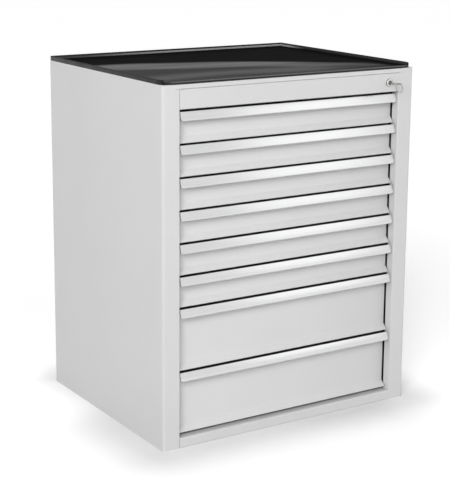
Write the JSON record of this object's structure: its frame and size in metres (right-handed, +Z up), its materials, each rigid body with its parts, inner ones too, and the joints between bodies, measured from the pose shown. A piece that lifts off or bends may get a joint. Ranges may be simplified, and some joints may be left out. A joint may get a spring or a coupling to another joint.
{
  "type": "laboratory drawer cabinet",
  "caption": "Sheet-steel floor cabinet with shallow and deep full-width drawers, aluminium lip handles, a black rimmed top tray and a central lock with its key.",
  "frame": {"origin": "on the floor, at the middle of the cabinet's base", "axes": "+X to the right as seen from the front, +Y to the back, +Z up; the drawers open along -Y"},
  "size_m": [0.7, 0.6101, 0.85],
  "materials": {
    "cabinet_paint": "light grey powder coat, satin",
    "handle_aluminium": "satin anodised",
    "tray_plastic": "black, satin",
    "zinc_steel": "zinc plated",
    "lock_nickel": "nickel plated",
    "key_steel": "nickel plated",
    "rivet_aluminium": "painted",
    "guide_plastic": "natural"
  },
  "bodies": {
    "cabinet": {"left_side_panel": "cabinet_paint", "right_side_panel": "cabinet_paint", "back_panel": "cabinet_paint", "base_pan": "cabinet_paint", "plinth_rail": "cabinet_paint", "top_panel": "cabinet_paint", "fascia": "cabinet_paint", "top_tray": "tray_plastic", "rail_posts": "zinc_steel", "cabinet_rails": "zinc_steel", "back_rivets": "rivet_aluminium", "lock_barrel": "lock_nickel", "lock_nut": "lock_nickel", "lock_bar_guides": "guide_plastic"},
    "lock": {"lock_plug": "lock_nickel", "lock_cam": "zinc_steel"},
    "cabinet_key": {"key": "key_steel"},
    "ring": {"key_ring": "key_steel"},
    "locking_bar": {"lock_bar": "zinc_steel", "lock_bar_tabs": "zinc_steel"},
    "drawer_1": {"drawer_front_1": "cabinet_paint", "drawer_box_1": "cabinet_paint", "drawer_handle_1": "handle_aluminium", "drawer_rails_1": "zinc_steel"},
    "rails_1": {"middle_rails_1": "zinc_steel"},
    "drawer_2": {"drawer_front_2": "cabinet_paint", "drawer_box_2": "cabinet_paint", "drawer_handle_2": "handle_aluminium", "drawer_rails_2": "zinc_steel"},
    "rails_2": {"middle_rails_2": "zinc_steel"},
    "drawer_3": {"drawer_front_3": "cabinet_paint", "drawer_box_3": "cabinet_paint", "drawer_handle_3": "handle_aluminium", "drawer_rails_3": "zinc_steel"},
    "rails_3": {"middle_rails_3": "zinc_steel"},
    "drawer_4": {"drawer_front_4": "cabinet_paint", "drawer_box_4": "cabinet_paint", "drawer_handle_4": "handle_aluminium", "drawer_rails_4": "zinc_steel"},
    "rails_4": {"middle_rails_4": "zinc_steel"},
    "drawer_5": {"drawer_front_5": "cabinet_paint", "drawer_box_5": "cabinet_paint", "drawer_handle_5": "handle_aluminium", "drawer_rails_5": "zinc_steel"},
    "rails_5": {"middle_rails_5": "zinc_steel"},
    "drawer_6": {"drawer_front_6": "cabinet_paint", "drawer_box_6": "cabinet_paint", "drawer_handle_6": "handle_aluminium", "drawer_rails_6": "zinc_steel"},
    "rails_6": {"middle_rails_6": "zinc_steel"},
    "drawer_7": {"drawer_front_7": "cabinet_paint", "drawer_box_7": "cabinet_paint", "drawer_handle_7": "handle_aluminium", "drawer_rails_7": "zinc_steel"},
    "rails_7": {"middle_rails_7": "zinc_steel"},
    "drawer_8": {"drawer_front_8": "cabinet_paint", "drawer_box_8": "cabinet_paint", "drawer_handle_8": "handle_aluminium", "drawer_rails_8": "zinc_steel"},
    "rails_8": {"middle_rails_8": "zinc_steel"}
  },
  "joints": [
    {"name": "drawer_1_slide", "type": "slide", "parent": "cabinet", "child": "drawer_1", "axis": [0, -1, 0], "range_m": [0, 0.46]},
    {"name": "rails_1_slide", "type": "slide", "parent": "cabinet", "child": "rails_1", "axis": [0, -1, 0], "range_m": [0, 0.23]},
    {"name": "drawer_2_slide", "type": "slide", "parent": "cabinet", "child": "drawer_2", "axis": [0, -1, 0], "range_m": [0, 0.46]},
    {"name": "rails_2_slide", "type": "slide", "parent": "cabinet", "child": "rails_2", "axis": [0, -1, 0], "range_m": [0, 0.23]},
    {"name": "drawer_3_slide", "type": "slide", "parent": "cabinet", "child": "drawer_3", "axis": [0, -1, 0], "range_m": [0, 0.46]},
    {"name": "rails_3_slide", "type": "slide", "parent": "cabinet", "child": "rails_3", "axis": [0, -1, 0], "range_m": [0, 0.23]},
    {"name": "drawer_4_slide", "type": "slide", "parent": "cabinet", "child": "drawer_4", "axis": [0, -1, 0], "range_m": [0, 0.46]},
    {"name": "rails_4_slide", "type": "slide", "parent": "cabinet", "child": "rails_4", "axis": [0, -1, 0], "range_m": [0, 0.23]},
    {"name": "drawer_5_slide", "type": "slide", "parent": "cabinet", "child": "drawer_5", "axis": [0, -1, 0], "range_m": [0, 0.46]},
    {"name": "rails_5_slide", "type": "slide", "parent": "cabinet", "child": "rails_5", "axis": [0, -1, 0], "range_m": [0, 0.23]},
    {"name": "drawer_6_slide", "type": "slide", "parent": "cabinet", "child": "drawer_6", "axis": [0, -1, 0], "range_m": [0, 0.46]},
    {"name": "rails_6_slide", "type": "slide", "parent": "cabinet", "child": "rails_6", "axis": [0, -1, 0], "range_m": [0, 0.23]},
    {"name": "drawer_7_slide", "type": "slide", "parent": "cabinet", "child": "drawer_7", "axis": [0, -1, 0], "range_m": [0, 0.46]},
    {"name": "rails_7_slide", "type": "slide", "parent": "cabinet", "child": "rails_7", "axis": [0, -1, 0], "range_m": [0, 0.23]},
    {"name": "drawer_8_slide", "type": "slide", "parent": "cabinet", "child": "drawer_8", "axis": [0, -1, 0], "range_m": [0, 0.46]},
    {"name": "rails_8_slide", "type": "slide", "parent": "cabinet", "child": "rails_8", "axis": [0, -1, 0], "range_m": [0, 0.23]},
    {"name": "lock_turn", "type": "hinge", "parent": "cabinet", "child": "lock", "pos_m": [0.277, -0.28, 0.80585], "axis": [0, 1, 0], "range_deg": [0, 90]},
    {"name": "key_pull", "type": "slide", "parent": "lock", "child": "cabinet_key", "axis": [0, -1, 0], "range_m": [0, 0.02]},
    {"name": "ring_swing", "type": "hinge", "parent": "cabinet_key", "child": "ring", "pos_m": [0.277, -0.31725, 0.80685], "axis": [0, 1, 0], "range_deg": [-35, 35]},
    {"name": "locking_bar_drop", "type": "slide", "parent": "cabinet", "child": "locking_bar", "axis": [0, 0, -1], "range_m": [0, 0.012]}
  ],
  "couplings": [
    {"joint": "rails_1_slide", "follows": "drawer_1_slide", "ratio": 0.5},
    {"joint": "rails_2_slide", "follows": "drawer_2_slide", "ratio": 0.5},
    {"joint": "rails_3_slide", "follows": "drawer_3_slide", "ratio": 0.5},
    {"joint": "rails_4_slide", "follows": "drawer_4_slide", "ratio": 0.5},
    {"joint": "rails_5_slide", "follows": "drawer_5_slide", "ratio": 0.5},
    {"joint": "rails_6_slide", "follows": "drawer_6_slide", "ratio": 0.5},
    {"joint": "rails_7_slide", "follows": "drawer_7_slide", "ratio": 0.5},
    {"joint": "rails_8_slide", "follows": "drawer_8_slide", "ratio": 0.5},
    {"joint": "lock_turn", "follows": "locking_bar_drop", "rad_per_m": 130.9}
  ]
}
